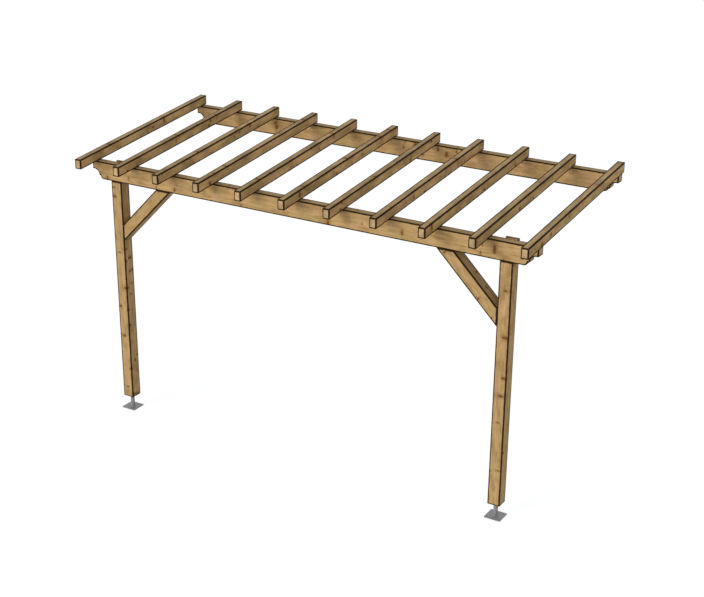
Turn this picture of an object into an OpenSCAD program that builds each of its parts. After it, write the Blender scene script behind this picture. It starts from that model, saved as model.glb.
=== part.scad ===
// Lean-to timber pergola: a wall beam and a front beam carry eleven rafters,
// and two braced posts on adjustable steel feet carry the front beam.
// Origin: centre of the wall beam's back face. +X runs along the wall, +Y points
// into the wall, +Z is up.

/* [Roof] */
// Slope of the rafters, in degrees
roof_pitch = 6; // [2:0.5:12]
// Number of rafters
rafter_count = 11; // [5:1:11]
// Distance between rafter centres
rafter_spacing = 476; // [300:1:480]
// Width of a rafter
rafter_w = 70; // [45:1:100]
// Depth of a rafter, square to its slope
rafter_h = 95; // [70:1:150]
// How far the rafters reach past the front beam, measured level
rafter_overhang = 240; // [100:5:400]
// Length of the level seat cut where a rafter rests on a beam
seat_len = 12; // [10:1:60]

/* [Beams] */
// Length of the front beam and of the wall beam
beam_len = 4800; // [4700:10:5600]
// Thickness of the beams
beam_t = 90; // [60:1:110]
// Height of the beams
beam_h = 175; // [170:1:240]
// Level distance from the wall to the front face of the front beam
frame_depth = 1820; // [1500:10:2500]
// Headroom from the ground to the underside of the front beam
headroom = 2480; // [2100:10:2800]

/* [Beam end moulding] */
// Height of the square nose at the beam end
nose_h = 80; // [60:1:90]
// Width of the small flat above the hollow
upper_fillet = 18; // [5:1:30]
// Radius of the hollow
hollow_r = 60; // [40:1:70]
// Width of the small flat below the hollow
lower_fillet = 16; // [5:1:30]

/* [Posts and braces] */
// Side of the square posts
post_w = 120; // [100:1:140]
// Distance between the post centres
post_spacing = 4225; // [3600:5:4400]
// How far the post tongue rises above the front beam
tongue_rise = 12; // [0:1:40]
// Side of the square braces
brace_w = 120; // [80:1:120]
// Distance from the corner to the centre line of a brace, along post and beam
brace_reach = 520; // [300:5:800]

/* [Post feet] */
// Height of a post above the ground
foot_h = 140; // [130:1:200]
// Side of the square ground plate
plate_w = 160; // [140:1:200]
// Thickness of the ground plate
plate_t = 8; // [5:0.5:12]
// Distance between the hole centres of the ground plate
hole_spacing = 115; // [100:1:130]
// Diameter of the holes of the ground plate
hole_d = 14; // [8:0.5:16]
// Outer diameter of the sleeve that is welded to the ground plate
sleeve_d = 42; // [36:1:60]
// Height of the sleeve
sleeve_h = 90; // [40:1:95]
// Diameter of the threaded stem
stem_d = 24; // [16:1:28]
// Height of the adjusting nut
nut_h = 19; // [12:1:20]
// Width of the adjusting nut across its flats
nut_w = 36; // [34:1:50]
// Side of the square plate under the post
head_w = 90; // [70:1:110]
// Thickness of the plate under the post
head_t = 6; // [4:0.5:10]
// Diameter of the screw holes of the plate under the post
head_hole_d = 9; // [6:0.5:12]

/* [Hidden] */
SIDES = ["left", "right"];
RAFTERS = [for (i = [1:rafter_count]) str("rafter_", i < 10 ? "0" : "", i)];
FEET = [for (side = SIDES, piece = ["plate", "sleeve", "stem", "nut", "head"]) str("foot_", piece, "_", side)];

// Levels and faces that follow from the driving sizes
wall_beam_top = beam_h / 2;
beam_run = frame_depth - beam_t;
front_beam_top = wall_beam_top - beam_run * tan(roof_pitch);
front_beam_bottom = front_beam_top - beam_h;
ground = front_beam_bottom - headroom;
post_foot = ground + foot_h;
front_face = -frame_depth;
post_y = front_face + post_w / 2;
ovolo_r = beam_h - nose_h - hollow_r;

// The stem screws into the sleeve and ends under the head plate
sleeve_floor = 20;
stem_bottom = ground + plate_t + sleeve_floor;
head_bottom = post_foot - head_t;
nut_bottom = ground + plate_t + sleeve_h;
head_hole_spacing = head_w - 26;

front_pine = "#B89260";
side_pine = "#8F7450";
rafter_pine = "#A98558";
steel = "#808284";

// A beam with its top at top_z and its front face at front_y. Below the square nose,
// each end has a flat, a hollow, another flat and a quarter round.
module beam(top_z, front_y) {
    translate([0, front_y + beam_t, top_z - beam_h])
        rotate([90, 0, 0])
            linear_extrude(beam_t)
                difference() {
                    translate([-beam_len / 2, 0])
                        square([beam_len, beam_h]);
                    for (side = [0, 1])
                        mirror([side, 0])
                            translate([beam_len / 2, 0])
                                end_waste();
                }
}

// What the moulding takes away at an end, with x = 0 at the nose and z = 0 at the underside
module end_waste() {
    past = 10;
    hollow_x = -upper_fillet;
    round_x = hollow_x - hollow_r - lower_fillet - ovolo_r;
    // the hollow, and all that lies outside it below the nose
    translate([hollow_x, ovolo_r])
        union() {
            square([upper_fillet + past, hollow_r]);
            intersection() {
                circle(hollow_r, $fn = 96);
                translate([-hollow_r - past, 0])
                    square([hollow_r + past, hollow_r + past]);
            }
        }
    // all that lies outside the quarter round below the lower flat
    difference() {
        translate([round_x, -past])
            square([past - round_x, past + ovolo_r]);
        translate([round_x, ovolo_r])
            circle(ovolo_r, $fn = 96);
    }
}

module wall_beam() {
    color(front_pine)
        beam(wall_beam_top, -beam_t);
}

module front_beam() {
    color(front_pine)
        beam(front_beam_top, front_face);
}

// A rafter with plumb-cut ends and a level seat over each beam
module rafter(x) {
    slope = tan(roof_pitch);
    plumb_h = rafter_h / cos(roof_pitch);
    underside_at_wall_beam = wall_beam_top - seat_len * slope;
    function underside(y) = underside_at_wall_beam + (y + beam_t) * slope;
    tip = front_face - rafter_overhang;
    color(rafter_pine)
        difference() {
            translate([x + rafter_w / 2, 0, 0])
                rotate([90, 0, -90])
                    linear_extrude(rafter_w)
                        polygon([[0, underside(0)], [0, underside(0) + plumb_h],
                                 [-tip, underside(tip) + plumb_h], [-tip, underside(tip)]]);
            seat_cut(x, wall_beam_top, -beam_t);
            seat_cut(x, front_beam_top, front_face);
        }
}

// The space of a beam's top, which the seat leaves free
module seat_cut(x, top_z, front_y) {
    depth = 20;
    translate([x - rafter_w, front_y, top_z - depth])
        cube([2 * rafter_w, beam_t, depth]);
}

// A square post whose top is notched at the front for the beam
module post(x) {
    color(front_pine)
        difference() {
            translate([x - post_w / 2, front_face, post_foot])
                cube([post_w, post_w, front_beam_top + tongue_rise - post_foot]);
            translate([x - post_w, front_face - 1, front_beam_bottom])
                cube([2 * post_w, beam_t + 1, beam_h + 2 * tongue_rise + 1]);
        }
}

// A brace at 45 degrees from a post's inner face to the underside of the front beam
module brace(side) {
    inner_face = post_spacing / 2 - post_w / 2;
    half_cut = brace_w / sqrt(2);
    near = brace_reach - half_cut;
    far = brace_reach + half_cut;
    color(side_pine)
        translate([side * inner_face, front_face + brace_w, front_beam_bottom])
            rotate([90, 0, 0])
                linear_extrude(brace_w)
                    polygon([[0, -near], [0, -far], [-side * far, 0], [-side * near, 0]]);
}

// Ground plate with four fixing holes
module foot_plate(x) {
    color(steel)
        translate([x, post_y, ground])
            difference() {
                translate([-plate_w / 2, -plate_w / 2, 0])
                    cube([plate_w, plate_w, plate_t]);
                for (sx = [-1, 1], sy = [-1, 1])
                    translate([sx * hole_spacing / 2, sy * hole_spacing / 2, -1])
                        cylinder(d = hole_d, h = plate_t + 2, $fn = 48);
            }
}

// Sleeve on the ground plate, bored for the stem
module foot_sleeve(x) {
    color(steel)
        translate([x, post_y, ground + plate_t])
            difference() {
                cylinder(d = sleeve_d, h = sleeve_h, $fn = 64);
                translate([0, 0, sleeve_floor])
                    cylinder(d = stem_d, h = sleeve_h, $fn = 64);
            }
}

module foot_stem(x) {
    color(steel)
        translate([x, post_y, stem_bottom])
            cylinder(d = stem_d, h = head_bottom - stem_bottom, $fn = 64);
}

// Hexagonal nut that turns on the stem and sits on the sleeve
module foot_nut(x) {
    color(steel)
        translate([x, post_y, nut_bottom])
            difference() {
                cylinder(d = nut_w / cos(30), h = nut_h, $fn = 6);
                translate([0, 0, -1])
                    cylinder(d = stem_d, h = nut_h + 2, $fn = 64);
            }
}

// Plate that carries the post, with four screw holes
module foot_head(x) {
    color(steel)
        translate([x, post_y, head_bottom])
            difference() {
                translate([-head_w / 2, -head_w / 2, 0])
                    cube([head_w, head_w, head_t]);
                for (sx = [-1, 1], sy = [-1, 1])
                    translate([sx * head_hole_spacing / 2, sy * head_hole_spacing / 2, -1])
                        cylinder(d = head_hole_d, h = head_t + 2, $fn = 32);
            }
}

for (i = [0:rafter_count - 1])
    rafter((i - (rafter_count - 1) / 2) * rafter_spacing);
wall_beam();
front_beam();
for (i = [0, 1]) {
    side = i == 0 ? -1 : 1;
    x = side * post_spacing / 2;
    post(x);
    brace(side);
    foot_plate(x);
    foot_sleeve(x);
    foot_stem(x);
    foot_nut(x);
    foot_head(x);
}
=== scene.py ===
"""Lean-to timber pergola: eased and grained timbers, screw-jack steel feet, fixings and a plain stage."""

import math
import random

import bpy
from bpy.props import FloatProperty, FloatVectorProperty, PointerProperty
from bpy.types import Operator, Panel, PropertyGroup
from mathutils import Matrix, Vector


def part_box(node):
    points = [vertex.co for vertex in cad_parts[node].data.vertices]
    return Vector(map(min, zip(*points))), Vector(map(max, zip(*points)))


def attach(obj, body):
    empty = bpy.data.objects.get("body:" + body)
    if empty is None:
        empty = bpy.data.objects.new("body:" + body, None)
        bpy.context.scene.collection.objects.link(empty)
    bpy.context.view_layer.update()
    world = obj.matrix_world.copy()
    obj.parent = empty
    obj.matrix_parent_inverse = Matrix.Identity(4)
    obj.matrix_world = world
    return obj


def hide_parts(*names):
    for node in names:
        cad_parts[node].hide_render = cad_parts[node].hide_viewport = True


bl_info = {
    "name": "Lean-to Pergola",
    "version": (1, 0, 0),
    "blender": (4, 5, 0),
    "location": "View3D > Sidebar > Pergola",
    "description": "Models and finishes a lean-to timber pergola around its packed frame",
    "category": "Object",
}

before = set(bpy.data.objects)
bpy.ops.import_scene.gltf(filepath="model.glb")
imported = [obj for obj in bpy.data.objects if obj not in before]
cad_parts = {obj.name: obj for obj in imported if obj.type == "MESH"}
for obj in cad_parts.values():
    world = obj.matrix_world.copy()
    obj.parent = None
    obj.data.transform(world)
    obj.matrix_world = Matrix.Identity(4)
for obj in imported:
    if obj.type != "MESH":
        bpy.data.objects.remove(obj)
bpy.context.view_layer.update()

UP = Vector((0, 0, 1))
RIGHT = Vector((1, 0, 0))
BACK = Vector((0, 1, 0))
ACROSS_GRAIN = (0, 1, 1)
SIDES = ("left", "right")
RAFTERS = sorted(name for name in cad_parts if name.startswith("rafter_"))

# Width of the camera's film in millimetres
FILM_WIDTH = 36.0

# How far a saw and a drill reach past what they cut, and how close two points count as one, in metres
OVERCUT = 0.02
OVERDRILL = 0.01
TOUCH = 1e-5

# Angles past which an edge is shaded sharp, on timber and plates and on screws and threads
ROUNDED = math.radians(50)
TURNED = math.radians(30)


def tone(red, green, blue):
    """Linear colour of three display values from 0 to 255."""
    shares = [value / 255 for value in (red, green, blue)]
    return tuple(s / 12.92 if s <= 0.04045 else ((s + 0.055) / 1.055) ** 2.4 for s in shares)


def quantity(name, description, default, **settings):
    """A number that a user can change."""
    return FloatProperty(name=name, description=description, default=default, **settings)


def length(name, description, default):
    """A size in metres that a user can change."""
    return quantity(name, description, default, min=0.0, unit="LENGTH", subtype="DISTANCE", precision=4)


def angle(name, description, degrees):
    """An angle that a user can change."""
    return quantity(name, description, math.radians(degrees), unit="ROTATION", subtype="ANGLE")


def share(name, description, default):
    """A share of a whole that a user can change."""
    return quantity(name, description, default, min=0.0, max=1.0)


def triple(name, description, default, **settings):
    """Three numbers that a user can change."""
    return FloatVectorProperty(name=name, description=description, default=default, **settings)


def colour(name, description, default):
    """A colour that a user can change."""
    return triple(name, description, default, subtype="COLOR", min=0.0, max=1.0)


class PergolaTimber(PropertyGroup):
    """Sizes of the timbers that the frame's boxes don't give."""

    pitch: angle("Roof pitch", "Slope of the rafters", 6)
    arris_radius: length("Arris radius", "Rounding of the planed arrises", 0.0025)
    arris_band: length("Arris band", "Width of the toned band beside an arris", 0.0125)
    nose_height: length("Nose height", "Height of the square nose of a beam end", 0.080)
    upper_fillet: length("Upper fillet", "Flat between the nose and the hollow", 0.018)
    hollow_radius: length("Hollow radius", "Radius of the hollow of a beam end", 0.060)
    lower_fillet: length("Lower fillet", "Flat between the hollow and the quarter round", 0.016)
    seat_depth: length("Seat clearance", "How far a seat cutter reaches below a beam's top", 0.020)


class PergolaWood(PropertyGroup):
    """Colours and grain of the treated pine."""

    earlywood: colour("Earlywood", "Pale part of a growth ring", tone(187, 153, 104))
    latewood: colour("Latewood", "Dark part of a growth ring", tone(158, 123, 77))
    rosy: colour("Rosy wood", "Patches that lean to red", tone(188, 149, 110))
    olive: colour("Olive wood", "Patches that keep the green of the treatment", tone(176, 150, 98))
    mottle: colour("Mottle", "Soft darker patches", tone(140, 108, 65))
    knot: colour("Knot", "Heart of a knot", tone(98, 56, 24))
    halo: colour("Knot halo", "Resin-stained wood round a knot", tone(148, 108, 60))
    end_grain: colour("End grain", "Sawn ends", tone(181, 155, 117))
    # Upward faces are painted greyer and darker: partly weathering, partly painted shade on the tops
    weathered_and_shaded_top: colour("Weathered", "Upward faces, greyed by the weather", tone(128, 113, 88))
    arris: colour("Arris", "Dark tone that handling and weather leave on the arrises", tone(34, 18, 5))
    ring_width: length("Ring width", "Distance between growth rings", 0.0042)
    wander: length("Grain wander", "How far the heart wanders from a straight line", 0.012)
    knot_size: length("Knot size", "Half the width of a large knot", 0.040)
    knot_share: share("Knot share", "Share of possible places that have a knot", 0.36)
    arris_strength: share("Arris strength", "How strongly the arrises are toned", 0.97)


class PergolaSteel(PropertyGroup):
    """Colours of the galvanised steel."""

    bright: colour("Bright zinc", "Lighter zinc crystals", tone(158, 158, 159))
    dull: colour("Dull zinc", "Darker zinc crystals", tone(130, 130, 131))
    edge: colour("Steel edge tone", "Dull band beside an edge", tone(70, 72, 74))
    edge_strength: share("Edge strength", "How strongly the edges are toned", 0.45)
    spangle: quantity("Spangle", "Zinc crystals per metre", 230.0, min=1.0)


class PergolaFeet(PropertyGroup):
    """Sizes of the steel feet that the frame's boxes don't give."""

    corner: length("Plate corner", "Rounding of the plates' upright corners", 0.0060)
    edge: length("Steel edge", "Rounding of the steel's sharp edges", 0.0008)
    edge_band: length("Edge band", "Width of the dull band beside a steel edge", 0.0022)
    hole_inset: length("Ground hole inset", "Distance of the ground plate's holes from its edges", 0.0225)
    hole_radius: length("Ground hole radius", "Radius of the ground plate's holes", 0.0070)
    head_hole_inset: length("Head hole inset", "Distance of the head plate's holes from its edges", 0.0130)
    head_hole_radius: length("Head hole radius", "Radius of the head plate's holes", 0.0045)
    sleeve_floor: length("Sleeve floor", "Solid height at the bottom of the sleeve", 0.0200)
    play: length("Thread play", "Gap between the stem and what it is screwed into", 0.0002)
    thread_pitch: length("Thread pitch", "Rise of the stem's thread in one turn", 0.0030)
    thread_depth: length("Thread depth", "Depth of the stem's thread", 0.0018)
    nut_chamfer: length("Nut chamfer", "Chamfer of the nut's corners", 0.0022)
    bead: length("Weld bead", "Radius of a weld bead", 0.0040)
    ripple: length("Weld ripple", "Height of the ripples on a weld bead", 0.0007)


class PergolaFixings(PropertyGroup):
    """Sizes of the screws."""

    head_radius: length("Screw head radius", "Radius of a countersunk timber screw's head", 0.0065)
    socket_radius: length("Socket radius", "Radius of the drive socket of a screw head", 0.0028)
    pocket_radius: length("Pocket radius", "Radius of the countersink round a head", 0.0080)
    pocket_depth: length("Pocket depth", "Depth of the countersink", 0.0030)
    coach_radius: length("Coach screw radius", "Radius over the corners of a coach screw's head", 0.0098)
    coach_height: length("Coach screw height", "Height of a coach screw's head", 0.0070)
    plate_screw_radius: length("Plate screw radius", "Radius over the corners of a head plate screw", 0.0075)
    plate_screw_height: length("Plate screw height", "Height of a head plate screw's head", 0.0050)
    washer_radius: length("Washer radius", "Radius of a washer", 0.0160)
    washer_height: length("Washer height", "Thickness of a washer", 0.0020)
    chamfer: length("Head chamfer", "Chamfer of the screw heads", 0.0009)
    spread: length("Coach screw spread", "Half the distance between a post's coach screws", 0.0320)
    socket_depth: length("Socket depth", "Depth of the drive socket", 0.0016)
    sink: length("Screw head sink", "How far a head lies below the timber's face", 0.0006)
    brace_inset: length("Brace screw inset", "Distance of the brace screws from a brace's sides", 0.0350)
    brace_end: share("Brace screw end", "Where a brace's screws are, as a share of its reach", 0.10)


class PergolaStage(PropertyGroup):
    """Camera, lamps and floor."""

    camera: triple("Camera", "Place of the camera", (6.7631, -12.0643, 3.8740), subtype="XYZ", unit="LENGTH")
    tilt: angle("Tilt", "Camera's turn up from straight down", 67.013)
    heading: angle("Heading", "Camera's turn about the vertical", 32.29)
    lens: quantity("Lens", "Focal length in millimetres", 72.483, min=1.0)
    shift_x: quantity("Shift right", "Framing shift to the right", 0.0421)
    shift_y: quantity("Shift up", "Framing shift upwards", 0.0391)
    towards_sun: triple("Towards the key lamp", "Its direction", (-0.36, -0.84, 0.30), subtype="DIRECTION")
    sun: quantity("Key lamp", "Strength of the key lamp", 1.71, min=0.0)
    sun_softness: angle("Softness", "Apparent size of the key lamp", 34)
    sun_colour: colour("Key lamp colour", "Colour of the key lamp", (1.0, 0.975, 0.93))
    sky_colour: colour("Sky colour", "Colour of the even light", (0.90, 0.94, 1.0))
    sky: quantity("Sky", "Strength of the even light", 0.768, min=0.0)
    floor_size: length("Floor size", "Side of the floor", 160.0)
    floor_glow: share("Floor glow", "Part of the floor's white that shadows don't reach", 0.845)


# Handling of pieces


def work_on(piece):
    """Leave edit mode and make this piece the only selected one."""
    if bpy.context.object and bpy.context.object.mode != "OBJECT":
        bpy.ops.object.mode_set(mode="OBJECT")
    bpy.ops.object.select_all(action="DESELECT")
    if piece:
        piece.select_set(True)
        bpy.context.view_layer.objects.active = piece


def leave_edit():
    """Go back to object mode."""
    bpy.ops.object.mode_set(mode="OBJECT")


def settle(piece):
    """Bring the piece's place, turn and size into its mesh."""
    work_on(piece)
    bpy.ops.object.transform_apply(location=True, rotation=True, scale=True)
    return piece


def named(name):
    """Name the newest object and its mesh, and settle it."""
    piece = bpy.context.object
    piece.name = name
    piece.data.name = name
    return settle(piece)


def add_block(name, low, high, turn=(0, 0, 0)):
    """A block between two corners, turned about its middle."""
    work_on(None)
    size = Vector(high) - Vector(low)
    middle = Vector(low) + size / 2
    bpy.ops.mesh.primitive_cube_add(size=1, location=middle, rotation=turn, scale=size)
    return named(name)


def add_rod(name, base, top, radius, corners=48, spin=0.0):
    """A round or many-sided bar between two points."""
    work_on(None)
    base, top = Vector(base), Vector(top)
    axis = top - base
    turn = (axis.to_track_quat("Z", "Y").to_matrix().to_4x4() @ Matrix.Rotation(spin, 4, "Z")).to_euler()
    bpy.ops.mesh.primitive_cylinder_add(
        vertices=corners, radius=radius, depth=axis.length, location=(base + top) / 2, rotation=turn
    )
    return named(name)


def edit(piece, kind="FACE", select="DESELECT"):
    """Enter edit mode with nothing selected, or with everything."""
    work_on(piece)
    bpy.ops.object.mode_set(mode="EDIT")
    bpy.ops.mesh.select_mode(type=kind)
    bpy.ops.mesh.select_all(action=select)


def on_all(piece, operator, **settings):
    """Use an edit mode operator on the whole mesh."""
    edit(piece, select="SELECT")
    operator(**settings)
    leave_edit()


def pick(piece, kind, wanted):
    """Enter edit mode with the points, edges or faces selected whose corners pass the test."""
    edit(piece, kind)
    leave_edit()
    mesh = piece.data
    if kind == "VERT":
        for vertex in mesh.vertices:
            vertex.select = wanted([vertex.co])
    else:
        for part in mesh.edges if kind == "EDGE" else mesh.polygons:
            part.select = wanted([mesh.vertices[i].co for i in part.vertices])
    bpy.ops.object.mode_set(mode="EDIT")


def bevel_picked(piece, wanted, offset, segments=1):
    """Bevel the edges whose ends pass the test."""
    pick(piece, "EDGE", wanted)
    bpy.ops.mesh.bevel(offset=offset, segments=segments, affect="EDGES", clamp_overlap=False)
    leave_edit()


def saw(piece, at, waste):
    """Cut the piece with a plane, remove the side that waste points to, and close the cut."""
    on_all(piece, bpy.ops.mesh.bisect, plane_co=at, plane_no=waste, use_fill=True, clear_outer=True)


def place_key(point):
    """A point as whole hundredths of a millimetre."""
    return tuple(round(c / TOUCH) for c in point)


def carve(piece, cutter, operation="DIFFERENCE"):
    """Apply a Boolean with the cutter and remove the cutter. New corners get no arris tone."""
    tones = piece.data.attributes.get("arris")
    kept = {place_key(v.co): tones.data[v.index].value for v in piece.data.vertices} if tones else None
    work_on(piece)
    cut = piece.modifiers.new("carve", "BOOLEAN")
    cut.operation = operation
    cut.solver = "EXACT"
    cut.object = cutter
    bpy.ops.object.modifier_apply(modifier=cut.name)
    bpy.data.objects.remove(cutter, do_unlink=True)
    if kept:
        tones = piece.data.attributes["arris"]
        for vertex in piece.data.vertices:
            tones.data[vertex.index].value = kept.get(place_key(vertex.co), 0.0)
    return piece


def tidy_mesh(piece):
    """Merge doubled points and dissolve needless edges on flat faces."""
    flat = math.radians(0.5)
    edit(piece, select="SELECT")
    bpy.ops.mesh.remove_doubles(threshold=TOUCH)
    bpy.ops.mesh.dissolve_degenerate(threshold=TOUCH)
    bpy.ops.mesh.dissolve_limited(angle_limit=flat)
    bpy.ops.mesh.select_all(action="SELECT")
    bpy.ops.mesh.delete_loose()
    leave_edit()


def mean_width(mesh, face):
    """Twice the area over the perimeter, which is about the width of a long face."""
    corners = [mesh.vertices[i].co for i in face.vertices]
    around = sum((corners[i] - corners[i - 1]).length for i in range(len(corners)))
    return 2 * face.area / around


def broad_regions(mesh, narrow):
    """Groups of joined faces wider than narrow, with the widest band that each group has room for."""
    part_of_region = 0.3
    part_of_face = 0.75
    broad = {face.index for face in mesh.polygons if mean_width(mesh, face) > narrow}
    beside = {}
    for index in broad:
        for key in mesh.polygons[index].edge_keys:
            beside.setdefault(key, []).append(index)
    regions = []
    while broad:
        waiting = [broad.pop()]
        region = []
        rim = 0.0
        slimmest = 1.0
        while waiting:
            index = waiting.pop()
            region.append(index)
            slimmest = min(slimmest, mean_width(mesh, mesh.polygons[index]))
            for key in mesh.polygons[index].edge_keys:
                if len(beside[key]) == 1:
                    rim += (mesh.vertices[key[0]].co - mesh.vertices[key[1]].co).length
                for other in beside[key]:
                    if other in broad:
                        broad.remove(other)
                        waiting.append(other)
        width = 2 * sum(mesh.polygons[index].area for index in region) / rim
        regions.append((region, min(part_of_region * width, part_of_face * slimmest)))
    return regions


def ease(piece, radius, band):
    """Round the sharp arrises, ring each smooth region with a band, and store the tone on the points."""
    sharp = math.radians(35)
    narrow = 1.3 * radius
    tidy_mesh(piece)
    edit(piece, "EDGE")
    bpy.ops.mesh.edges_select_sharp(sharpness=sharp)
    bpy.ops.mesh.bevel(offset=radius, segments=2, affect="EDGES", clamp_overlap=True)
    leave_edit()
    mesh = piece.data
    tones = mesh.attributes.new("arris", "FLOAT", "POINT")
    tones.data.foreach_set("value", [1.0] * len(mesh.vertices))
    bands = mesh.attributes.new("band", "FLOAT", "FACE")
    widths = set()
    for region, room in broad_regions(mesh, narrow):
        thickness = round(min(band, room), 4)
        widths.add(thickness)
        for index in region:
            bands.data[index].value = thickness
    for thickness in sorted(widths):
        edit(piece)
        leave_edit()
        bands = mesh.attributes["band"]
        for face in mesh.polygons:
            face.select = abs(bands.data[face.index].value - thickness) < TOUCH
        bpy.ops.object.mode_set(mode="EDIT")
        bpy.ops.mesh.inset(thickness=thickness, use_individual=False, use_even_offset=True)
        leave_edit()
        tones = mesh.attributes["arris"]
        for index in {index for face in mesh.polygons if face.select for index in face.vertices}:
            tones.data[index].value = 0.0
    mesh.attributes.remove(mesh.attributes["band"])
    return piece


def smooth(piece, limit=ROUNDED):
    """Shade the piece smooth over its rounded edges."""
    work_on(piece)
    bpy.ops.object.shade_smooth_by_angle(angle=limit)
    return piece


def copy_piece(piece, name, shift):
    """A copy with its own mesh, moved by shift."""
    work_on(piece)
    bpy.ops.object.duplicate(linked=False)
    copy = bpy.context.object
    copy.location = shift
    return named(name)


def join(name, pieces):
    """Join several pieces into one."""
    work_on(pieces[0])
    for piece in pieces:
        piece.select_set(True)
    bpy.ops.object.join()
    return named(name)


def finish_piece(piece, material, slot, *nodes):
    """Give the piece its finish, let it ride on the frame and stand for its CAD nodes."""
    piece.data.materials.clear()
    piece.data.materials.append(material)
    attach(piece, "root")
    if nodes:
        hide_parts(*nodes)
    return piece


# Shader nodes


def add_node(tree, kind, sockets=None, **settings):
    """Add a shader node, set it and link or fill its sockets."""
    node = tree.nodes.new("ShaderNode" + kind)
    for key, value in settings.items():
        setattr(node, key, value)
    for key, value in (sockets or {}).items():
        if isinstance(value, bpy.types.NodeSocket):
            tree.links.new(value, node.inputs[key])
        else:
            node.inputs[key].default_value = value
    return node


def figure(tree, operation, *terms):
    """The answer of a Math node."""
    return add_node(tree, "Math", dict(enumerate(terms)), operation=operation).outputs[0]


def times(tree, first, *others):
    """The product of several values."""
    for other in others:
        first = figure(tree, "MULTIPLY", first, other)
    return first


def total(tree, first, *others):
    """The sum of several values."""
    for other in others:
        first = figure(tree, "ADD", first, other)
    return first


def vector(tree, operation, *terms):
    """The answer of a Vector Math node."""
    node = add_node(tree, "VectorMath", dict(enumerate(terms)), operation=operation)
    return node.outputs["Value" if operation in ("LENGTH", "DOT_PRODUCT") else "Vector"]


def scaled(tree, place, factor):
    """A vector or colour times one value."""
    return add_node(tree, "VectorMath", {0: place, "Scale": factor}, operation="SCALE").outputs["Vector"]


def ramp(tree, value, start, end, low=0.0, high=1.0):
    """Value eased from low at start to high at end."""
    sockets = {"Value": value, "From Min": start, "From Max": end, "To Min": low, "To Max": high}
    return add_node(tree, "MapRange", sockets, interpolation_type="SMOOTHSTEP").outputs["Result"]


def noise(tree, place, cells, detail=2.0, output="Fac"):
    """Noise with a number of cells per metre along each axis."""
    stretched = vector(tree, "MULTIPLY", place, cells)
    return add_node(tree, "TexNoise", {"Vector": stretched, "Scale": 1.0, "Detail": detail}).outputs[output]


def blend(tree, amount, first, second):
    """Mix of two colours."""
    paint = {
        key: value if isinstance(value, bpy.types.NodeSocket) else (*value[:3], 1.0)
        for key, value in ((6, first), (7, second))
    }
    return add_node(tree, "Mix", {0: amount, **paint}, data_type="RGBA", blend_type="MIX").outputs[2]


def arrange(tree):
    """Lay the nodes out in columns from the inputs to the output."""
    column = {}

    def depth(node):
        if node.name not in column:
            column[node.name] = 0
            sources = [link.from_node for socket in node.inputs for link in socket.links]
            column[node.name] = 1 + max((depth(source) for source in sources), default=-1)
        return column[node.name]

    rows = {}
    for node in tree.nodes:
        place = depth(node)
        rows[place] = rows.get(place, -1) + 1
        node.location = (place * 200, -rows[place] * 220)


def heart_nodes(tree, given):
    """Turn timber coordinates into coordinates about a heart that wanders a little."""
    cells = (0.9, 1.5, 1.5)
    middle_grey = (0.5, 0.5, 0.5)
    sideways = (0, 4, 4)
    drift = vector(tree, "SUBTRACT", noise(tree, given["Vector"], cells, 1.0, "Color"), middle_grey)
    drift = vector(tree, "MULTIPLY", scaled(tree, drift, given["Wander"]), sideways)
    moved = vector(tree, "ADD", vector(tree, "SUBTRACT", given["Vector"], given["Heart"]), drift)
    radius = vector(tree, "LENGTH", vector(tree, "MULTIPLY", moved, ACROSS_GRAIN))
    return {"Vector": moved, "Radius": radius}


def knot_nodes(tree, given):
    """Branches that run out from the heart. They show as knots that are wider across the grain."""
    cells_along = 6.0
    cells_round = 0.8
    squash = 2.1
    ring_spacing = 0.0024
    heading = vector(tree, "NORMALIZE", vector(tree, "MULTIPLY", given["Vector"], ACROSS_GRAIN))
    outwards = vector(tree, "MULTIPLY", heading, (0, cells_round, cells_round))
    along = vector(tree, "MULTIPLY", given["Vector"], (cells_along, 0, 0))
    place = vector(tree, "ADD", outwards, along)
    cells = {"Vector": place, "Scale": 1.0, "Randomness": 1.0}
    cell = add_node(tree, "TexVoronoi", cells).outputs
    border = add_node(tree, "TexVoronoi", cells, feature="DISTANCE_TO_EDGE").outputs["Distance"]
    gap = vector(tree, "SUBTRACT", place, cell["Position"])
    gap_along = vector(tree, "LENGTH", vector(tree, "MULTIPLY", gap, (squash / cells_along, 0, 0)))
    branch = vector(tree, "NORMALIZE", vector(tree, "MULTIPLY", cell["Position"], ACROSS_GRAIN))
    gap_round = vector(tree, "LENGTH", vector(tree, "SUBTRACT", heading, branch))
    gap_round = times(tree, gap_round, given["Radius"])
    both = add_node(tree, "CombineXYZ", {"X": gap_along, "Y": gap_round}).outputs[0]
    uneven = ramp(tree, noise(tree, given["Vector"], (90, 90, 90), 1.0), 0.2, 0.8, 0.8, 1.2)
    away = times(tree, vector(tree, "LENGTH", both), uneven)
    chance = add_node(tree, "SeparateColor", {"Color": cell["Color"]}).outputs
    radius = times(tree, given["Size"], ramp(tree, chance[0], 0.1, 0.9, 0.4, 1.0))
    there = figure(tree, "LESS_THAN", chance[1], given["Share"])
    there = times(tree, there, ramp(tree, border, 0.0, 0.12))
    ratio = figure(tree, "DIVIDE", away, radius)
    return {
        "Knot": times(tree, ramp(tree, ratio, 1.05, 0.45), there),
        "Halo": times(tree, ramp(tree, ratio, 2.8, 0.7), there),
        "Rings": figure(tree, "PINGPONG", figure(tree, "DIVIDE", away, ring_spacing), 1.0),
    }


def ring_nodes(tree, given):
    """Growth rings about the heart, which bend round the knots."""
    bend = 0.007
    unevenness = 2.5
    bent = total(tree, given["Radius"], times(tree, given["Swirl"], bend))
    uneven = noise(tree, given["Vector"], (0.8, 14, 14))
    count = figure(tree, "DIVIDE", bent, given["Ring Width"])
    year = figure(tree, "FRACT", total(tree, count, times(tree, uneven, unevenness)))
    return {"Latewood": times(tree, ramp(tree, year, 0.25, 0.9), ramp(tree, year, 1.0, 0.93))}


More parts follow.
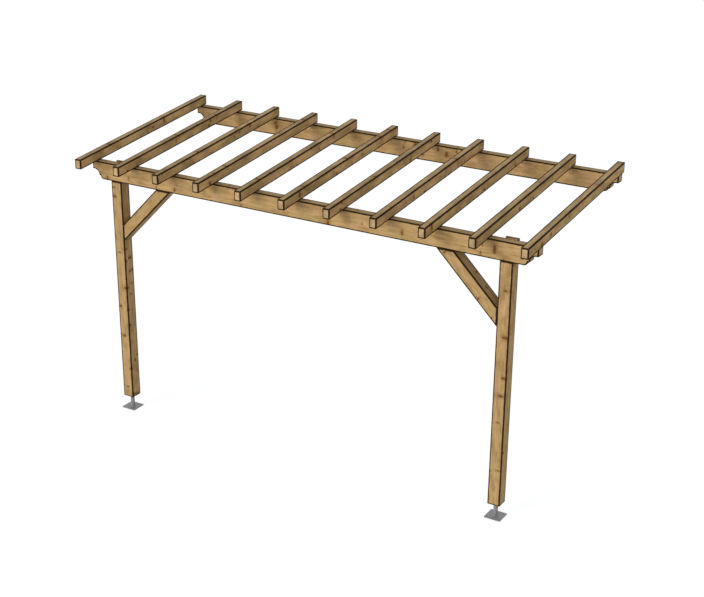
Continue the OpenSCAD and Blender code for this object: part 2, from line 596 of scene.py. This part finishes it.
def fibre_nodes(tree, given):
    """Fine streaks along the grain, and soft broad patches."""
    fibre = noise(tree, given["Vector"], (9, 330, 330), 3.0)
    streak = noise(tree, given["Vector"], (4.5, 75, 75))
    patch = noise(tree, given["Vector"], (8.0, 17, 17), 3.0)
    cloud = noise(tree, vector(tree, "ADD", given["Vector"], (3, 3, 3)), (3.6, 9, 9))
    tint = noise(tree, vector(tree, "ADD", given["Vector"], (7, 7, 7)), (5.0, 18, 18))
    return {
        "Fibre": ramp(tree, fibre, 0.3, 0.7),
        "Streak": ramp(tree, streak, 0.3, 0.7),
        "Mottle": ramp(tree, patch, 0.46, 0.68),
        "Cloud": ramp(tree, cloud, 0.34, 0.66),
        "Rosy": ramp(tree, tint, 0.52, 0.68),
        "Olive": ramp(tree, tint, 0.48, 0.34),
    }


def arris_nodes(tree, given):
    """Uneven tone along the arrises."""
    uneven = noise(tree, given["Vector"], (25, 60, 60))
    edge = total(tree, given["Arris"], ramp(tree, uneven, 0.3, 0.7, -0.1, 0.1))
    return {"Mask": times(tree, ramp(tree, edge, 0.06, 0.36), given["Strength"])}


# The nodes of each shader node group, and its inputs with their defaults
NOWHERE = (0.0, 0.0, 0.0)
SHADER_GROUPS = {
    "Timber heart": (heart_nodes, {"Vector": NOWHERE, "Heart": NOWHERE, "Wander": 0.01}),
    "Timber knots": (knot_nodes, {"Vector": NOWHERE, "Radius": 0.05, "Size": 0.02, "Share": 0.1}),
    "Growth rings": (ring_nodes, {"Vector": NOWHERE, "Radius": 0.05, "Ring Width": 0.004, "Swirl": 0.0}),
    "Wood fibres": (fibre_nodes, {"Vector": NOWHERE}),
    "Arris tone": (arris_nodes, {"Vector": NOWHERE, "Arris": 0.0, "Strength": 0.8}),
}


def shader_group(name):
    """The shader node group of this name, built once with named sockets."""
    if name in bpy.data.node_groups:
        return bpy.data.node_groups[name]
    build, inputs = SHADER_GROUPS[name]
    tree = bpy.data.node_groups.new(name, "ShaderNodeTree")
    for label, default in inputs.items():
        kind = "NodeSocketVector" if isinstance(default, tuple) else "NodeSocketFloat"
        tree.interface.new_socket(label, in_out="INPUT", socket_type=kind).default_value = default
    answers = build(tree, tree.nodes.new("NodeGroupInput").outputs)
    for label, answer in answers.items():
        kind = "NodeSocketVector" if answer.type == "VECTOR" else "NodeSocketFloat"
        tree.interface.new_socket(label, in_out="OUTPUT", socket_type=kind)
    result = tree.nodes.new("NodeGroupOutput")
    for label, answer in answers.items():
        tree.links.new(answer, result.inputs[label])
    arrange(tree)
    return tree


def use_group(tree, name, sockets):
    """Place a shader node group with its values."""
    return add_node(tree, "Group", sockets, node_tree=shader_group(name)).outputs


def arris_mask(tree, place, strength):
    """Where the arrises are toned, from the tone stored on a piece's points."""
    stored = add_node(tree, "Attribute", attribute_name="arris").outputs["Fac"]
    return use_group(tree, "Arris tone", {"Vector": place, "Arris": stored, "Strength": strength})["Mask"]


def blank_tree(owner):
    """The emptied node tree of a material or a world."""
    owner.use_nodes = True
    owner.node_tree.nodes.clear()
    return owner.node_tree


def new_material(name):
    """A node material with a Principled shader. Returns the material, its tree and the shader."""
    material = bpy.data.materials.new(name)
    tree = blank_tree(material)
    shader = add_node(tree, "BsdfPrincipled")
    add_node(tree, "OutputMaterial", {"Surface": shader.outputs[0]})
    return material, tree, shader


def dress(tree, shader, paint, rough, bump):
    """Link a colour, a roughness and the sockets of a bump to the shader."""
    tree.links.new(paint, shader.inputs["Base Color"])
    tree.links.new(rough, shader.inputs["Roughness"])
    tree.links.new(add_node(tree, "Bump", bump).outputs[0], shader.inputs["Normal"])
    arrange(tree)


def pine(name, seed, middle, grain, across, reach, clearness=0.0, clouds_and_painted_light=(0.97, 1.03)):
    """Treated pine for one timber, with its grain along grain and its heart off the middle by up to reach.

    Clearness is the share of knots it lacks, and the last argument gives the factors of its dark and pale
    patches; where both lie above 1 they also lighten the whole timber as painted light.
    """
    wood = bpy.context.scene.pergola_wood
    draw = random.Random(seed)
    material, tree, shader = new_material(name)
    axes = Matrix((grain, across, grain.cross(across))).transposed()
    along = 40
    offset = (draw.uniform(-along, along), *(draw.uniform(-sideways, sideways) for sideways in reach))
    ring_width = wood.ring_width * draw.uniform(0.85, 1.25)
    own = add_node(tree, "TexCoord").outputs["Object"]
    centred = {"Vector": own, "Location": middle, "Rotation": axes.to_euler()}
    local = add_node(tree, "Mapping", centred, vector_type="TEXTURE").outputs[0]
    heart = use_group(tree, "Timber heart", {"Vector": local, "Heart": offset, "Wander": wood.wander})
    place = {"Vector": heart["Vector"], "Radius": heart["Radius"]}
    knotty = {"Size": wood.knot_size, "Share": wood.knot_share * (1 - clearness)}
    knots = use_group(tree, "Timber knots", {**place, **knotty})
    swirl = {"Ring Width": ring_width, "Swirl": knots["Halo"]}
    late = use_group(tree, "Growth rings", {**place, **swirl})["Latewood"]
    fibres = use_group(tree, "Wood fibres", {"Vector": heart["Vector"]})
    even = (0.0, 1.0)
    facing = add_node(tree, "NewGeometry").outputs["Normal"]
    upwards = add_node(tree, "SeparateXYZ", {"Vector": facing}).outputs["Z"]
    end = ramp(tree, figure(tree, "ABSOLUTE", vector(tree, "DOT_PRODUCT", facing, grain)), 0.55, 0.9)
    side = figure(tree, "SUBTRACT", 1.0, end)
    knot = times(tree, knots["Knot"], side)

    # Each layer's mask, strength and colour, from the ground colour up
    layers = (
        (late, 0.6, wood.latewood),
        (fibres["Rosy"], 0.7, wood.rosy),
        (fibres["Olive"], 0.7, wood.olive),
        (fibres["Mottle"], 0.5, wood.mottle),
        (end, 0.6, wood.end_grain),
        # Upward faces: partly weathering, partly painted shade that darkens the tops
        (ramp(tree, upwards, 0.3, 0.9), 0.52, wood.weathered_and_shaded_top),
        (times(tree, knots["Halo"], side), 0.6, wood.halo),
        (knot, ramp(tree, knots["Rings"], *even, 0.62, 0.9), wood.knot),
    )
    paint = wood.earlywood
    for mask, strength, tint in layers:
        paint = blend(tree, times(tree, mask, strength), paint, tint)
    # The last factor gives the dark and pale patches; for the beams it also lightens the whole timber as
    # painted light
    streak = times(
        tree,
        ramp(tree, fibres["Fibre"], *even, 0.94, 1.06),
        ramp(tree, fibres["Streak"], *even, 0.91, 1.09),
        ramp(tree, fibres["Cloud"], *even, *clouds_and_painted_light),
    )
    paint = blend(tree, arris_mask(tree, local, wood.arris_strength), scaled(tree, paint, streak), wood.arris)
    rough = total(tree, ramp(tree, fibres["Fibre"], *even, 0.68, 0.8), times(tree, late, -0.08))
    height = total(tree, times(tree, late, 0.5), times(tree, fibres["Fibre"], 0.35), times(tree, knot, 0.6))
    shader.inputs["Specular IOR Level"].default_value = 0.05
    dress(tree, shader, paint, rough, {"Height": height, "Strength": 0.35, "Distance": 0.0008})
    return material


def galvanised():
    """Hot-dip galvanised steel with a faint spangle and dull edges."""
    if "Galvanised steel" in bpy.data.materials:
        return bpy.data.materials["Galvanised steel"]
    steel = bpy.context.scene.pergola_steel
    material, tree, shader = new_material("Galvanised steel")
    own = add_node(tree, "TexCoord").outputs["Object"]
    drift = scaled(tree, noise(tree, own, (60, 60, 60), output="Color"), 0.006)
    crystals = {"Vector": vector(tree, "ADD", own, drift), "Scale": steel.spangle}
    crystal = add_node(tree, "TexVoronoi", crystals).outputs["Color"]
    value = add_node(tree, "SeparateColor", {"Color": crystal}).outputs[0]
    stain = noise(tree, own, (22, 22, 22), 3.0)
    mixed = total(tree, times(tree, value, 0.4), times(tree, stain, 0.7))
    paint = blend(tree, ramp(tree, mixed, 0.2, 0.9), steel.dull, steel.bright)
    paint = blend(tree, arris_mask(tree, own, steel.edge_strength), paint, steel.edge)
    shader.inputs["Metallic"].default_value = 0.7
    rough = ramp(tree, mixed, 0.1, 1.0, 0.5, 0.68)
    dress(tree, shader, paint, rough, {"Height": mixed, "Strength": 0.25, "Distance": 0.0004})
    return material


# Timbers


def rafter_level(y, corner):
    """Height, at a distance from the wall, of the rafters' face that goes through a corner of their box."""
    return corner.z + (y - corner.y) * math.tan(bpy.context.scene.pergola_timber.pitch)


def rafter_top(y):
    """Height of the rafters' top at a distance from the wall."""
    return rafter_level(y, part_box(RAFTERS[0])[1])


def screw_lines():
    """Distances from the wall at which a screw goes through a rafter into a beam."""
    return [(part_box(beam)[0].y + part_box(beam)[1].y) / 2 for beam in ("wall_beam", "front_beam")]


def sink_pocket(piece, head, outwards):
    """Cut the countersink of a screw whose hole comes out at head."""
    fixings = bpy.context.scene.pergola_fixings
    base = head - outwards * fixings.pocket_depth
    carve(piece, add_rod("pocket", base, head + outwards * OVERDRILL, fixings.pocket_radius, 24))


def finish_timbers(piece, nodes, slot, seed, middle, *growth):
    """Copy a timber along the wall to each of its like nodes, and give each its own pine."""
    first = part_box(nodes[0])[0]
    for number, node in enumerate(nodes):
        shift = Vector((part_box(node)[0].x - first.x, 0, 0))
        timber = piece if number == 0 else copy_piece(piece, "timber_" + node, shift)
        finish = pine("Pine " + node, seed + number, middle + shift, *growth)
        finish_piece(timber, finish, slot, node)


class PERGOLA_OT_rafters(Operator):
    """Plane one rafter, saw its ends and seats, sink its screw pockets, and copy it along the wall"""

    bl_idname = "pergola.rafters"
    bl_label = "Rafters"

    def execute(self, context):
        timber = context.scene.pergola_timber
        low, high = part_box(RAFTERS[0])
        lean = Vector((0, -math.sin(timber.pitch), math.cos(timber.pitch)))
        grain = Vector((0, math.cos(timber.pitch), math.sin(timber.pitch)))
        depth = (rafter_level(0, high) - rafter_level(0, low)) * math.cos(timber.pitch)
        reach = (high.y - low.y) / math.cos(timber.pitch) + 2 * depth
        middle = (low + high) / 2
        half = Vector((high.x - low.x, reach, depth)) / 2
        piece = add_block("timber_" + RAFTERS[0], middle - half, middle + half, (timber.pitch, 0, 0))
        saw(piece, (0, low.y, 0), (0, -1, 0))
        saw(piece, (0, high.y, 0), (0, 1, 0))
        ease(piece, timber.arris_radius, timber.arris_band)
        for beam in ("wall_beam", "front_beam"):
            beam_low, beam_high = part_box(beam)
            seat_low = (low.x - OVERCUT, beam_low.y, beam_high.z - timber.seat_depth)
            seat_high = (high.x + OVERCUT, beam_high.y + OVERCUT, beam_high.z)
            carve(piece, add_block("seat", seat_low, seat_high))
        for y in screw_lines():
            sink_pocket(piece, Vector((middle.x, y, rafter_top(y))), lean)
        smooth(piece)
        growth = (grain, RIGHT, (0.012, 0.02), 0.5, (0.87, 1.18))
        finish_timbers(piece, RAFTERS, "rafter_pine", 100, middle, *growth)
        return {"FINISHED"}


class PERGOLA_OT_beams(Operator):
    """Plane the wall beam and the front beam and cut the moulding of their ends"""

    bl_idname = "pergola.beams"
    bl_label = "Beams"

    def execute(self, context):
        for number, node in enumerate(("wall_beam", "front_beam")):
            low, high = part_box(node)
            piece = self.moulded("timber_" + node, low, high)
            # Both patch factors lie above 1: painted light that lightens the beams against the shade the
            # rafters cast on them
            growth = (RIGHT, BACK, (0.02, 0.045), 0.3, (1.01, 1.08))
            finish_timbers(piece, [node], "beam_pine", 200 + number, (low + high) / 2, *growth)
        return {"FINISHED"}

    def moulded(self, name, low, high):
        """A beam whose ends step back below the nose: a flat, a hollow, a flat and a quarter round."""
        timber = bpy.context.scene.pergola_timber
        piece = add_block(name, low, high)
        round_radius = high.z - low.z - timber.nose_height - timber.hollow_radius
        hollow = high.x - timber.upper_fillet
        corner = hollow - timber.hollow_radius - timber.lower_fillet
        shelf = low.z + round_radius
        middle = (low.x + high.x) / 2
        front = low.y - OVERCUT
        back = high.y + OVERCUT
        for side in (1, -1):

            def mirrored(x):
                return middle + side * (x - middle)

            for from_x, to_z in ((hollow, high.z - timber.nose_height), (corner, shelf)):
                left, right = sorted((mirrored(from_x), mirrored(high.x + OVERCUT)))
                waste_low = (left, front, low.z - OVERCUT)
                carve(piece, add_block("waste", waste_low, (right, back, to_z)))
            base = (mirrored(hollow), front, shelf)
            tip = (mirrored(hollow), back, shelf)
            carve(piece, add_rod("hollow", base, tip, timber.hollow_radius, 32))
            edge_x = mirrored(corner)

            def at_corner(ends):
                return all(abs(end.x - edge_x) + abs(end.z - low.z) < 10 * TOUCH for end in ends)

            bevel_picked(piece, at_corner, round_radius, 5)
        widest = 0.72 * timber.lower_fillet
        ease(piece, timber.arris_radius, min(timber.arris_band, widest))
        return smooth(piece)


class PERGOLA_OT_posts(Operator):
    """Plane a post, notch its top for the beam, and copy it"""

    bl_idname = "pergola.posts"
    bl_label = "Posts"

    def execute(self, context):
        timber = context.scene.pergola_timber
        low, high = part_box("post_left")
        beam_low, beam_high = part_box("front_beam")
        piece = add_block("timber_post_left", low, high)
        notch_low = (low.x - OVERCUT, low.y - OVERCUT, beam_low.z)
        notch_high = (high.x + OVERCUT, beam_high.y, high.z + OVERCUT)
        carve(piece, add_block("notch", notch_low, notch_high))
        widest = 0.38 * (high.y - beam_high.y)
        ease(piece, timber.arris_radius, min(timber.arris_band, widest))
        self.narrow_bands(piece, beam_high, high.z)
        smooth(piece)
        nodes = ["post_left", "post_right"]
        finish_timbers(piece, nodes, "post_pine", 300, (low + high) / 2, UP, BACK, (0.02, 0.02))
        return {"FINISHED"}

    def narrow_bands(self, piece, beam_high, top):
        """Narrow the toned bands on the small faces of the tongue that show above the beam."""
        past_band = -1.5
        lowest = beam_high.z - bpy.context.scene.pergola_timber.arris_band
        tones = piece.data.attributes["arris"].data
        for vertex in piece.data.vertices:
            on_face = abs(vertex.co.y - beam_high.y) < 10 * TOUCH and vertex.co.z > lowest
            on_top = abs(vertex.co.z - top) < 10 * TOUCH
            if (on_face or on_top) and tones[vertex.index].value == 0.0:
                tones[vertex.index].value = past_band


class PERGOLA_OT_braces(Operator):
    """Saw the two braces between the posts and the front beam, and sink their screw pockets"""

    bl_idname = "pergola.braces"
    bl_label = "Braces"

    def execute(self, context):
        timber = context.scene.pergola_timber
        for number, side in enumerate(SIDES):
            node = "brace_" + side
            low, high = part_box(node)
            inwards = 1 if side == "left" else -1
            width = high.y - low.y
            middle = (low + high) / 2
            grain = Vector((inwards, 0, 1)).normalized()
            under = Vector((inwards, 0, -1)).normalized()
            centre = middle - under * width / 2
            half = Vector(((high.x - low.x), width / 2, width / 2))
            turn = (0, -inwards * math.radians(45), 0)
            piece = add_block("timber_" + node, centre - half, centre + half, turn)
            post_face = low.x if inwards == 1 else high.x
            saw(piece, (post_face, 0, 0), (-inwards, 0, 0))
            saw(piece, (0, 0, high.z), (0, 0, 1))
            ease(piece, timber.arris_radius, timber.arris_band)
            for head in brace_screw_places(node):
                sink_pocket(piece, head, under)
            smooth(piece)
            finish_timbers(piece, [node], "brace_pine", 400 + number, centre, grain, BACK, (0.02, 0.02))
        return {"FINISHED"}


def brace_screw_places(node):
    """Places of the screw heads on the lower face of a brace."""
    fixings = bpy.context.scene.pergola_fixings
    low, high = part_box(node)
    inwards = 1 if node.endswith("left") else -1
    post_face = low.x if inwards == 1 else high.x
    heads = []
    for part in (fixings.brace_end, 1 - fixings.brace_end):
        along = (high.x - low.x) * part
        for y in (low.y + fixings.brace_inset, high.y - fixings.brace_inset):
            heads.append(Vector((post_face + inwards * along, y, low.z + along)))
    return heads


# Steel


def drilled_plate(name, low, high, inset, radius):
    """A plate with rounded corners and a hole near each of them."""
    feet = bpy.context.scene.pergola_feet
    piece = add_block(name, low, high)

    def on_corner(ends):
        return abs(ends[0].z - ends[1].z) > (high.z - low.z) / 2

    bevel_picked(piece, on_corner, feet.corner, 4)
    past = OVERDRILL / 2
    for x in (low.x + inset, high.x - inset):
        for y in (low.y + inset, high.y - inset):
            carve(piece, add_rod("drill", (x, y, low.z - past), (x, y, high.z + past), radius, 24))
    ease(piece, feet.edge, feet.edge_band)
    return smooth(piece)


def weld_bead(centre, radius, upwards):
    """A rippled bead round a bar, with a flat side on the plate that it joins the bar to."""
    feet = bpy.context.scene.pergola_feet
    rings = 48
    work_on(None)
    bpy.ops.mesh.primitive_torus_add(
        location=centre, major_radius=radius, minor_radius=feet.bead, major_segments=rings, minor_segments=10
    )
    piece = named("bead")

    def on_ripple(points):
        turn = math.atan2(points[0].y - centre.y, points[0].x - centre.x) / math.tau * rings
        return round(turn) % 3 == 0

    pick(piece, "VERT", on_ripple)
    bpy.ops.transform.shrink_fatten(value=feet.ripple)
    leave_edit()
    saw(piece, centre, -UP if upwards else UP)
    return piece


def threaded_bar(name, base, top, radius):
    """An upright bar with a triangular thread. It is swept about the origin and then put in place."""
    feet = bpy.context.scene.pergola_feet
    pitch = feet.thread_pitch
    depth = feet.thread_depth
    outline = pitch / math.sqrt(3)
    turns = math.ceil((top.z - base.z) / pitch) + 2
    squeeze = depth / (1.5 * outline)
    turn = Matrix(((0, 1, 0), (0, 0, 1), (1, 0, 0))).to_euler()
    start = (radius - outline * squeeze, 0, 0)
    work_on(None)
    bpy.ops.mesh.primitive_circle_add(
        vertices=3, radius=outline, location=start, rotation=turn, scale=(1, squeeze, 1)
    )
    piece = named(name)
    pick(piece, "EDGE", lambda ends: all(end.x < radius - depth / 2 for end in ends))
    bpy.ops.mesh.delete(type="EDGE_FACE")
    leave_edit()
    sweep = piece.modifiers.new("thread", "SCREW")
    sweep.axis = "Z"
    sweep.steps = 24
    sweep.render_steps = 24
    sweep.iterations = turns
    sweep.screw_offset = pitch
    bpy.ops.object.modifier_apply(modifier=sweep.name)
    piece.location = (base.x, base.y, base.z - pitch)
    settle(piece)
    on_all(piece, bpy.ops.mesh.remove_doubles, threshold=TOUCH)
    saw(piece, base, -UP)
    saw(piece, top, UP)
    on_all(piece, bpy.ops.mesh.normals_make_consistent, inside=False)
    return piece


def upright(node):
    """The middle of a round node's underside and of its top, and half its width."""
    low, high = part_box(node)
    middle = (low + high) / 2
    return Vector((middle.x, middle.y, low.z)), Vector((middle.x, middle.y, high.z)), (high.x - low.x) / 2


class PERGOLA_OT_feet(Operator):
    """Cut, drill and weld the left foot's plates, sleeve, stem and nut, and copy them to the right"""

    bl_idname = "pergola.feet"
    bl_label = "Feet"

    def execute(self, context):
        feet = context.scene.pergola_feet
        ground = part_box("foot_plate_left")
        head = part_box("foot_head_left")
        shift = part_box("foot_plate_right")[0] - ground[0]
        pieces = {
            "foot_plate": drilled_plate("ground_plate_left", *ground, feet.hole_inset, feet.hole_radius),
            "foot_sleeve": self.sleeve("sleeve_left", feet),
            "foot_stem": self.stem("threaded_stem_left", feet),
            "foot_nut": self.nut("nut_left", feet),
            "foot_head": drilled_plate("head_plate_left", *head, feet.head_hole_inset, feet.head_hole_radius),
        }
        for node, piece in pieces.items():
            twin = copy_piece(piece, piece.name.replace("left", "right"), shift)
            finish_piece(piece, galvanised(), "galvanised_steel", node + "_left")
            finish_piece(twin, galvanised(), "galvanised_steel", node + "_right")
        return {"FINISHED"}

    def sleeve(self, name, feet):
        """The bored sleeve with its weld to the ground plate."""
        foot, crown, radius = upright("foot_sleeve_left")
        bore = upright("foot_stem_left")[2] + feet.play
        piece = add_rod(name, foot, crown, radius)
        carve(piece, add_rod("drill", foot + UP * feet.sleeve_floor, crown + UP * OVERDRILL, bore))
        ease(piece, feet.edge, feet.edge_band)
        carve(piece, weld_bead(foot, radius, True), "UNION")
        return smooth(piece)

    def stem(self, name, feet):
        """The threaded stem with its weld to the head plate. Its hidden lower end is plain."""
        foot, crown, radius = upright("foot_stem_left")
        start = Vector((foot.x, foot.y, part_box("foot_nut_left")[0].z - feet.thread_pitch))
        core = radius - feet.thread_depth - feet.play
        piece = threaded_bar(name, start, crown, radius)
        carve(piece, add_rod("core", foot, start + UP * feet.thread_pitch, core, 24), "UNION")
        carve(piece, weld_bead(crown, core + feet.thread_depth / 2, False), "UNION")
        return smooth(piece, TURNED)

    def nut(self, name, feet):
        """The hexagonal nut with chamfered corners."""
        foot, crown, radius = upright("foot_nut_left")
        bore = upright("foot_stem_left")[2] + feet.play
        piece = add_rod(name, foot, crown, radius, 6, math.radians(30))
        turned = add_rod("turned", foot, crown, radius)

        def on_rim(ends):
            return abs(ends[0].z - ends[1].z) < TOUCH

        bevel_picked(turned, on_rim, feet.nut_chamfer)
        carve(piece, turned, "INTERSECT")
        carve(piece, add_rod("drill", foot - UP * OVERDRILL, crown + UP * OVERDRILL, bore))
        ease(piece, feet.edge / 2, feet.edge_band / 2)
        return smooth(piece, TURNED)


# Fixings


def capped_rod(name, base, direction, radius, height, corners):
    """A short bar with a chamfered outer end."""
    fixings = bpy.context.scene.pergola_fixings
    top = base + direction * height
    piece = add_rod(name, base, top, radius, corners)

    def on_top(ends):
        return all((end - top).dot(direction) > -TOUCH for end in ends)

    bevel_picked(piece, on_top, fixings.chamfer)
    return piece


def sunk_screw(name, base, direction):
    """The head of a countersunk screw with its drive socket."""
    fixings = bpy.context.scene.pergola_fixings
    height = fixings.pocket_depth - fixings.sink
    piece = capped_rod(name, base, direction, fixings.head_radius, height, 24)
    top = base + direction * height
    floor = top - direction * fixings.socket_depth
    carve(piece, add_rod("socket", floor, top + direction * OVERDRILL, fixings.socket_radius, 6))
    return smooth(piece, TURNED)


def coach_screw(name, base, direction):
    """A hexagonal head on a washer."""
    fixings = bpy.context.scene.pergola_fixings
    piece = capped_rod(name, base, direction, fixings.washer_radius, fixings.washer_height, 32)
    seat = base + direction * fixings.washer_height / 2
    carve(piece, capped_rod("head", seat, direction, fixings.coach_radius, fixings.coach_height, 6), "UNION")
    return smooth(piece, TURNED)


class PERGOLA_OT_fixings(Operator):
    """Set the screws of the rafters, the braces, the posts' tongues and the head plates"""

    bl_idname = "pergola.fixings"
    bl_label = "Fixings"

    def execute(self, context):
        self.rafter_screws(context)
        self.brace_screws(context)
        self.tongue_screws(context)
        self.plate_screws(context)
        return {"FINISHED"}

    def set_out(self, name, first, places):
        """Copy the first screw to all the places, join them and finish the piece."""
        copies = [copy_piece(first, "screw", place - places[0]) for place in places[1:]]
        finish_piece(join(name, [first, *copies]), galvanised(), "galvanised_steel")

    def rafter_screws(self, context):
        fixings = context.scene.pergola_fixings
        pitch = context.scene.pergola_timber.pitch
        lean = Vector((0, -math.sin(pitch), math.cos(pitch)))
        for name, y in zip(("wall", "front"), screw_lines()):
            places = []
            for node in RAFTERS:
                low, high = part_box(node)
                places.append(Vector(((low.x + high.x) / 2, y, rafter_top(y))) - lean * fixings.pocket_depth)
            self.set_out("rafter_screws_" + name, sunk_screw("screw", places[0], lean), places)

    def brace_screws(self, context):
        fixings = context.scene.pergola_fixings
        for side in SIDES:
            under = Vector((1 if side == "left" else -1, 0, -1)).normalized()
            heads = brace_screw_places("brace_" + side)
            places = [head - under * fixings.pocket_depth for head in heads]
            self.set_out("brace_screws_" + side, sunk_screw("screw", places[0], under), places)

    def tongue_screws(self, context):
        spread = context.scene.pergola_fixings.spread
        beam_low, beam_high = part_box("front_beam")
        height = (beam_low.z + beam_high.z) / 2
        for side in SIDES:
            low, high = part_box("post_" + side)
            middle = (low.x + high.x) / 2
            places = [Vector((middle + s * spread, high.y, height - s * spread)) for s in (-1, 1)]
            self.set_out("tongue_screws_" + side, coach_screw("screw", places[0], BACK), places)

    def plate_screws(self, context):
        fixings = context.scene.pergola_fixings
        inset = context.scene.pergola_feet.head_hole_inset
        for side in SIDES:
            low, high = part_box("foot_head_" + side)
            rows = (low.y + inset, high.y - inset)
            places = [Vector((x, y, low.z)) for x in (low.x + inset, high.x - inset) for y in rows]
            radius = fixings.plate_screw_radius
            first = capped_rod("screw", places[0], -UP, radius, fixings.plate_screw_height, 6)
            self.set_out("plate_screws_" + side, smooth(first, TURNED), places)


class PERGOLA_OT_stage(Operator):
    """Set the floor, the lamps, the world and the camera"""

    bl_idname = "pergola.stage"
    bl_label = "Stage"

    def execute(self, context):
        stage = context.scene.pergola_stage
        self.floor(stage)
        self.lamps(stage)
        self.camera(stage)
        return {"FINISHED"}

    def background_rays(self, tree):
        """1 for camera, glossy and transmission rays."""
        path = add_node(tree, "LightPath").outputs
        seen = figure(tree, "MAXIMUM", path["Is Camera Ray"], path["Is Glossy Ray"])
        return figure(tree, "MAXIMUM", seen, path["Is Transmission Ray"])

    def floor(self, stage):
        """A white floor that keeps a faint shadow, and can be looked through from below."""
        work_on(None)
        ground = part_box("foot_plate_left")[0].z
        bpy.ops.mesh.primitive_plane_add(size=stage.floor_size, location=(0, -1, ground))
        floor = named("floor")
        material = bpy.data.materials.new("White floor")
        tree = blank_tree(material)
        matt = add_node(tree, "BsdfDiffuse", {"Color": (0.6, 0.6, 0.6, 1)}).outputs[0]
        faint = add_node(tree, "BsdfDiffuse", {"Color": (0.2, 0.2, 0.2, 1)}).outputs[0]
        glow = add_node(tree, "Emission", {"Strength": stage.floor_glow}).outputs[0]
        seen = add_node(tree, "AddShader", {0: faint, 1: glow}).outputs[0]
        both = add_node(tree, "MixShader", {0: self.background_rays(tree), 1: matt, 2: seen}).outputs[0]
        clear = add_node(tree, "BsdfTransparent").outputs[0]
        below = add_node(tree, "NewGeometry").outputs["Backfacing"]
        shown = add_node(tree, "MixShader", {0: below, 1: both, 2: clear}).outputs[0]
        add_node(tree, "OutputMaterial", {"Surface": shown})
        arrange(tree)
        floor.data.materials.append(material)

    def lamps(self, stage):
        """One soft key lamp and an even sky, with a plain white background."""
        aim = (-Vector(stage.towards_sun)).to_track_quat("-Z", "Y").to_euler()
        bpy.ops.object.light_add(type="SUN", location=(-6, -10, 6), rotation=aim)
        lamp = bpy.context.object
        lamp.name = "key_lamp"
        lamp.data.energy = stage.sun
        lamp.data.color = stage.sun_colour
        lamp.data.angle = stage.sun_softness
        world = bpy.data.worlds.new("Studio")
        bpy.context.scene.world = world
        tree = blank_tree(world)
        even = {"Color": (*stage.sky_colour, 1), "Strength": stage.sky}
        sky = add_node(tree, "Background", even).outputs[0]
        white = add_node(tree, "Background", {"Color": (1, 1, 1, 1), "Strength": 1.0}).outputs[0]
        both = add_node(tree, "MixShader", {0: self.background_rays(tree), 1: sky, 2: white}).outputs[0]
        add_node(tree, "OutputWorld", {"Surface": both})
        arrange(tree)
        bpy.context.scene.view_settings.view_transform = "Standard"

    def camera(self, stage):
        """The camera that frames the pergola from the front right and above."""
        bpy.ops.object.camera_add(location=stage.camera, rotation=(stage.tilt, 0, stage.heading))
        camera = bpy.context.object
        camera.name = "camera"
        camera.data.sensor_width = FILM_WIDTH
        camera.data.lens = stage.lens
        camera.data.shift_x = stage.shift_x
        camera.data.shift_y = stage.shift_y
        camera.data.clip_end = 200.0
        bpy.context.scene.camera = camera


class PERGOLA_PT_panel(Panel):
    """Buttons for each group of pieces"""

    bl_label = "Pergola"
    bl_idname = "PERGOLA_PT_panel"
    bl_space_type = "VIEW_3D"
    bl_region_type = "UI"
    bl_category = "Pergola"

    def draw(self, context):
        for operator in OPERATORS:
            self.layout.operator(operator.bl_idname)


GROUPS = {
    "pergola_timber": PergolaTimber,
    "pergola_wood": PergolaWood,
    "pergola_steel": PergolaSteel,
    "pergola_feet": PergolaFeet,
    "pergola_fixings": PergolaFixings,
    "pergola_stage": PergolaStage,
}
OPERATORS = (
    PERGOLA_OT_rafters,
    PERGOLA_OT_beams,
    PERGOLA_OT_posts,
    PERGOLA_OT_braces,
    PERGOLA_OT_feet,
    PERGOLA_OT_fixings,
    PERGOLA_OT_stage,
)


def register():
    for name, group in GROUPS.items():
        bpy.utils.register_class(group)
        setattr(bpy.types.Scene, name, PointerProperty(type=group))
    for cls in (*OPERATORS, PERGOLA_PT_panel):
        bpy.utils.register_class(cls)


def unregister():
    for cls in (PERGOLA_PT_panel, *reversed(OPERATORS)):
        bpy.utils.unregister_class(cls)
    for name, group in reversed(GROUPS.items()):
        delattr(bpy.types.Scene, name)
        bpy.utils.unregister_class(group)


def main():
    register()
    bpy.ops.pergola.rafters()
    bpy.ops.pergola.beams()
    bpy.ops.pergola.posts()
    bpy.ops.pergola.braces()
    bpy.ops.pergola.feet()
    bpy.ops.pergola.fixings()
    bpy.ops.pergola.stage()


if __name__ == "__main__":
    main()
